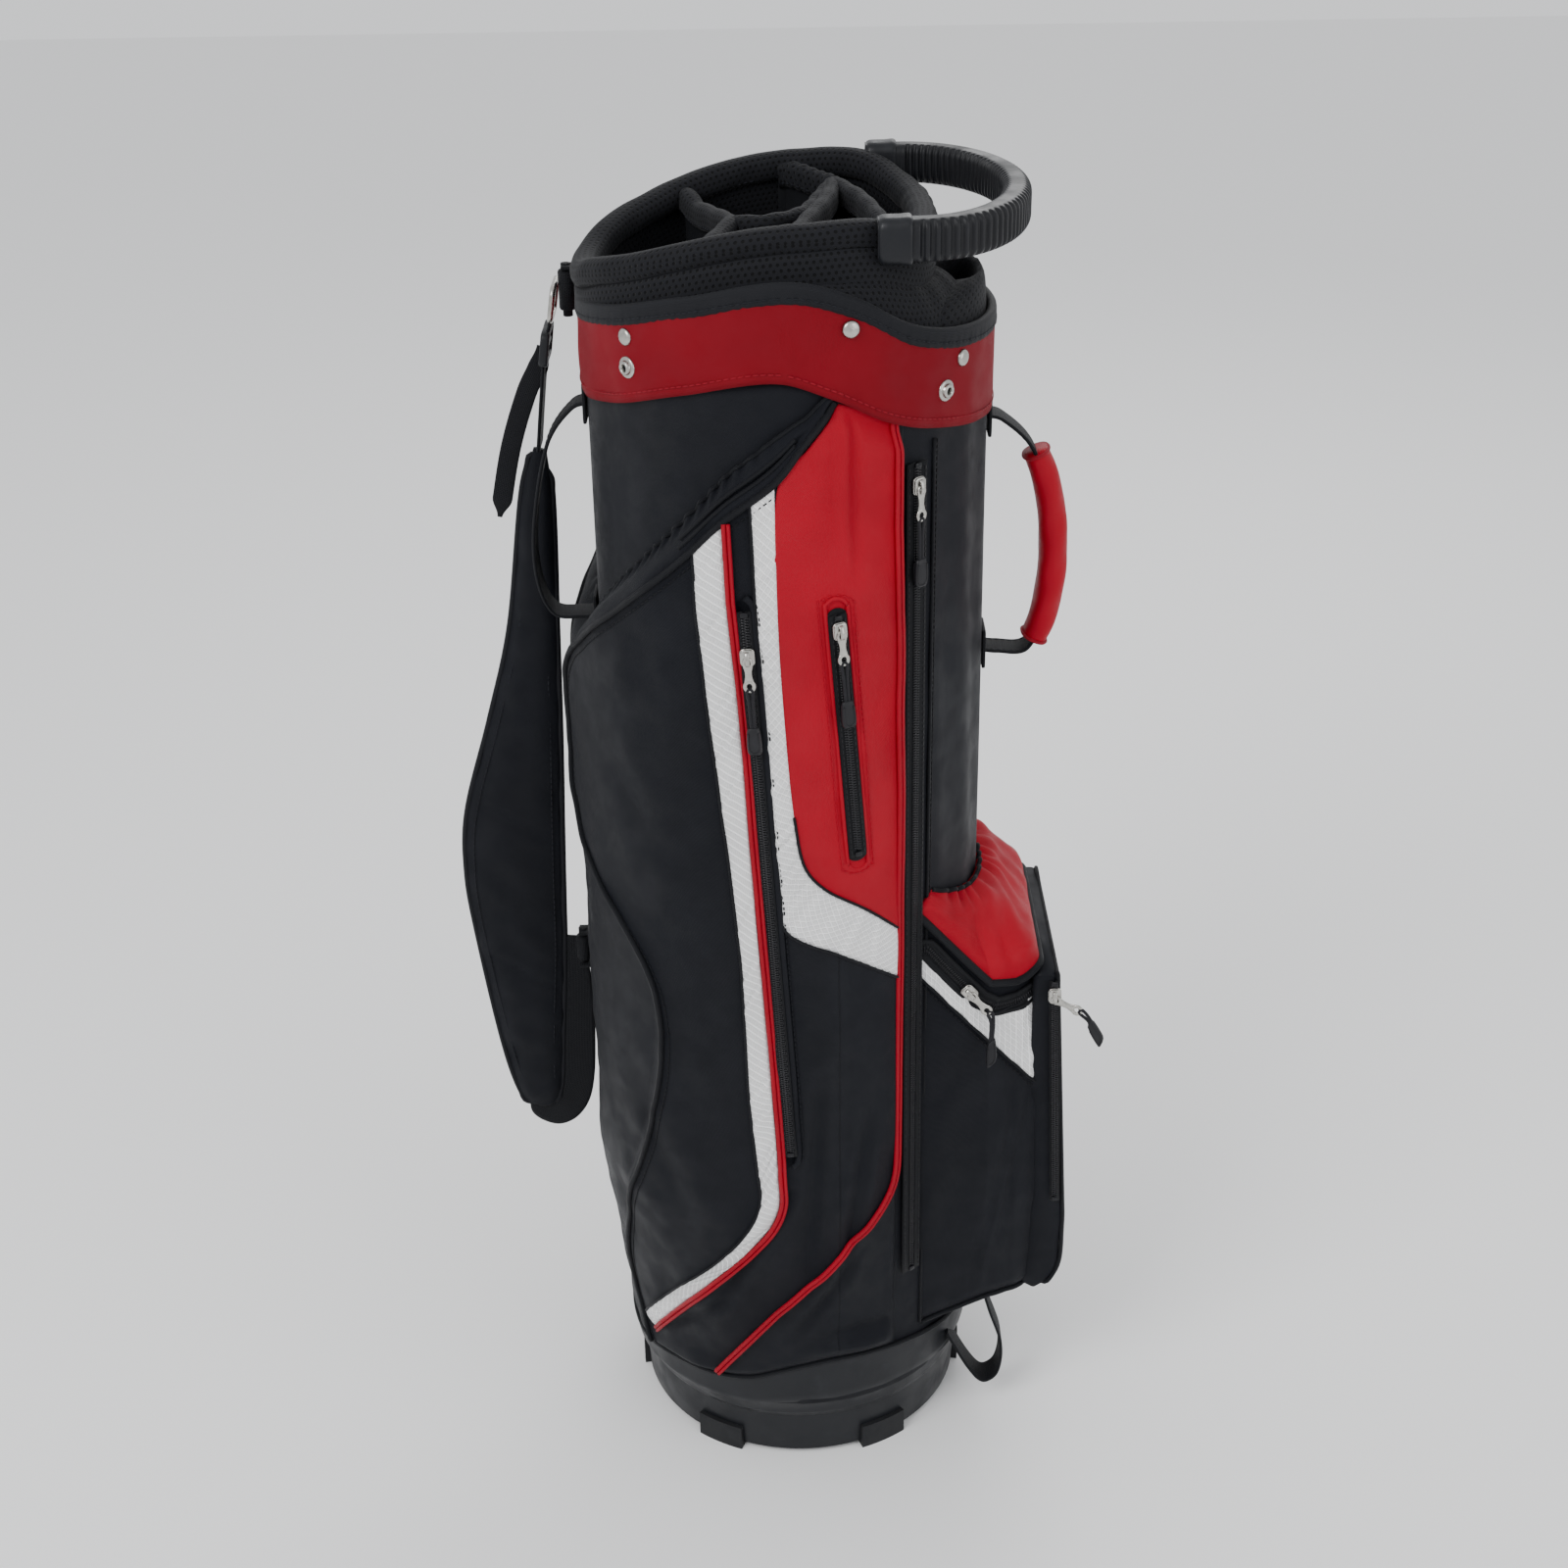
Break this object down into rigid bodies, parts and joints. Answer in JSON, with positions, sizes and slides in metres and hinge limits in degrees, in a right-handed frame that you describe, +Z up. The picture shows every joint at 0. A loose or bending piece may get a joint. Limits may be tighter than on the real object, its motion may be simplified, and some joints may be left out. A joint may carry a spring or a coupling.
{
  "type": "golf bag",
  "caption": "Upright cart-style golf bag with divided throat, putter well, moulded top handle, padded shoulder strap, zipped side pockets and a ball pocket.",
  "frame": {"origin": "centre of the underside of the base", "axes": "+Z up, +X towards the front with the ball pocket and carry handle, -X towards the shoulder strap"},
  "size_m": [0.406, 0.2868, 0.87],
  "materials": {
    "moulded_black": "satin moulded",
    "foot_rubber": "matte",
    "rod_grey": "satin",
    "black_nylon": "fine woven",
    "red_nylon": "fine woven, slight sheen",
    "black_mesh": "padded mesh",
    "black_webbing": "ribbed webbing",
    "white_ripstop": "diamond weave",
    "red_piping": "satin piping",
    "nickel": "polished",
    "zip_black": "matte tape",
    "pull_black": "matte"
  },
  "bodies": {
    "bag": {"base_cup": "moulded_black", "base_feet": "foot_rubber", "support_rods": "rod_grey", "bag_shell": "black_nylon", "cuff_band": "red_nylon", "cuff_binding": "black_webbing", "cuff_rivets": "nickel", "hood_studs": "nickel", "throat_collar": "black_mesh", "throat_rim": "black_mesh", "divider_bars": "black_mesh", "divider_panels": "black_nylon", "putter_tube": "moulded_black", "putter_pad": "black_mesh", "top_handle": "moulded_black", "handle_sockets": "moulded_black", "right_side_pocket": "black_nylon", "left_side_pocket": "black_nylon", "ball_pocket_case": "black_nylon", "front_slip_pocket": "black_nylon", "garment_zip_tape": "zip_black", "valuables_zip_tape": "zip_black", "seam_zip_tape": "zip_black", "ball_zip_tape": "zip_black", "slip_zip_tape": "zip_black", "left_garment_zip_tape": "zip_black", "carry_handle_ends": "black_webbing", "back_handle_ends": "black_webbing", "strap_anchors": "black_webbing", "base_loop": "black_webbing"},
    "ball_lid": {"ball_pocket_lid": "red_nylon"},
    "carry_handle": {"carry_handle_webbing": "black_webbing", "carry_handle_grip": "red_nylon"},
    "back_handle": {"back_handle_webbing": "black_webbing"},
    "strap": {"strap_ring": "nickel", "strap_tab": "black_webbing", "strap_upper_webbing": "black_webbing", "strap_adjuster": "moulded_black", "strap_pad": "black_mesh", "strap_tail": "black_webbing", "strap_lower_webbing": "black_webbing"},
    "garment_slider": {"garment_zip_slider": "nickel"},
    "garment_pull": {"garment_zip_pull": "pull_black"},
    "valuables_slider": {"valuables_zip_slider": "nickel"},
    "valuables_pull": {"valuables_zip_pull": "pull_black"},
    "seam_slider": {"seam_zip_slider": "nickel"},
    "seam_pull": {"seam_zip_pull": "pull_black"},
    "ball_slider": {"ball_zip_slider": "nickel"},
    "ball_pull": {"ball_zip_pull": "pull_black"},
    "slip_slider": {"slip_zip_slider": "nickel"},
    "slip_pull": {"slip_zip_pull": "pull_black"},
    "left_garment_slider": {"left_garment_zip_slider": "nickel"},
    "left_garment_pull": {"left_garment_zip_pull": "pull_black"}
  },
  "joints": [
    {"name": "ball_lid_hinge", "type": "hinge", "parent": "bag", "child": "ball_lid", "pos_m": [0.1238, 0, 0.4415], "axis": [0, -1, 0], "range_deg": [0, 65]},
    {"name": "carry_handle_swing", "type": "hinge", "parent": "bag", "child": "carry_handle", "pos_m": [0.1238, 0, 0.65], "axis": [0, 0, 1], "range_deg": [-45, 45]},
    {"name": "back_handle_swing", "type": "hinge", "parent": "bag", "child": "back_handle", "pos_m": [-0.1238, 0, 0.67], "axis": [0, 0, 1], "range_deg": [0, 45]},
    {"name": "strap_swing", "type": "hinge", "parent": "bag", "child": "strap", "pos_m": [-0.1465, 0.024, 0.338], "axis": [0.0325, 0, 0.9995], "range_deg": [-60, 0]},
    {"name": "garment_zip_slide", "type": "slide", "parent": "bag", "child": "garment_slider", "axis": [0.0573, -0.0012, -0.9984], "range_m": [-0.018, 0.3436]},
    {"name": "garment_pull_flip", "type": "hinge", "parent": "garment_slider", "child": "garment_pull", "pos_m": [-0.02495, -0.14052, 0.62575], "axis": [-0.9982, 0.0202, -0.0573], "range_deg": [0, 140]},
    {"name": "valuables_zip_slide", "type": "slide", "parent": "bag", "child": "valuables_slider", "axis": [0.0746, 0.0282, -0.9968], "range_m": [0, 0.1415]},
    {"name": "valuables_pull_flip", "type": "hinge", "parent": "valuables_slider", "child": "valuables_pull", "pos_m": [0.02955, -0.13428, 0.63874], "axis": [-0.9326, -0.3521, -0.0798], "range_deg": [0, 140]},
    {"name": "seam_zip_slide", "type": "slide", "parent": "bag", "child": "seam_slider", "axis": [0.005, 0.0038, -1], "range_m": [-0.004, 0.557]},
    {"name": "seam_pull_flip", "type": "hinge", "parent": "seam_slider", "child": "seam_pull", "pos_m": [0.07605, -0.10321, 0.7147], "axis": [-0.797, -0.6039, -0.0062], "range_deg": [0, 140]},
    {"name": "ball_zip_slide", "type": "slide", "parent": "bag", "child": "ball_slider", "axis": [0.6338, 0.0928, -0.7679], "range_m": [-0.02, 0.002]},
    {"name": "ball_pull_flip", "type": "hinge", "parent": "ball_slider", "child": "ball_pull", "pos_m": [0.11345, -0.09118, 0.36596], "axis": [-0.7598, -0.1112, -0.6406], "range_deg": [0, 140]},
    {"name": "slip_zip_slide", "type": "slide", "parent": "bag", "child": "slip_slider", "axis": [0.0397, 0, -0.9992], "range_m": [0, 0.1571]},
    {"name": "slip_pull_flip", "type": "hinge", "parent": "slip_slider", "child": "slip_pull", "pos_m": [0.16845, -0.0797, 0.35471], "axis": [-0.9992, 0, -0.0397], "range_deg": [0, 140]},
    {"name": "left_garment_zip_slide", "type": "slide", "parent": "bag", "child": "left_garment_slider", "axis": [0.0573, 0.0012, -0.9984], "range_m": [-0.018, 0.3436]},
    {"name": "left_garment_pull_flip", "type": "hinge", "parent": "left_garment_slider", "child": "left_garment_pull", "pos_m": [-0.02495, 0.14052, 0.62575], "axis": [0.9982, 0.0202, 0.0573], "range_deg": [0, 140]}
  ]
}
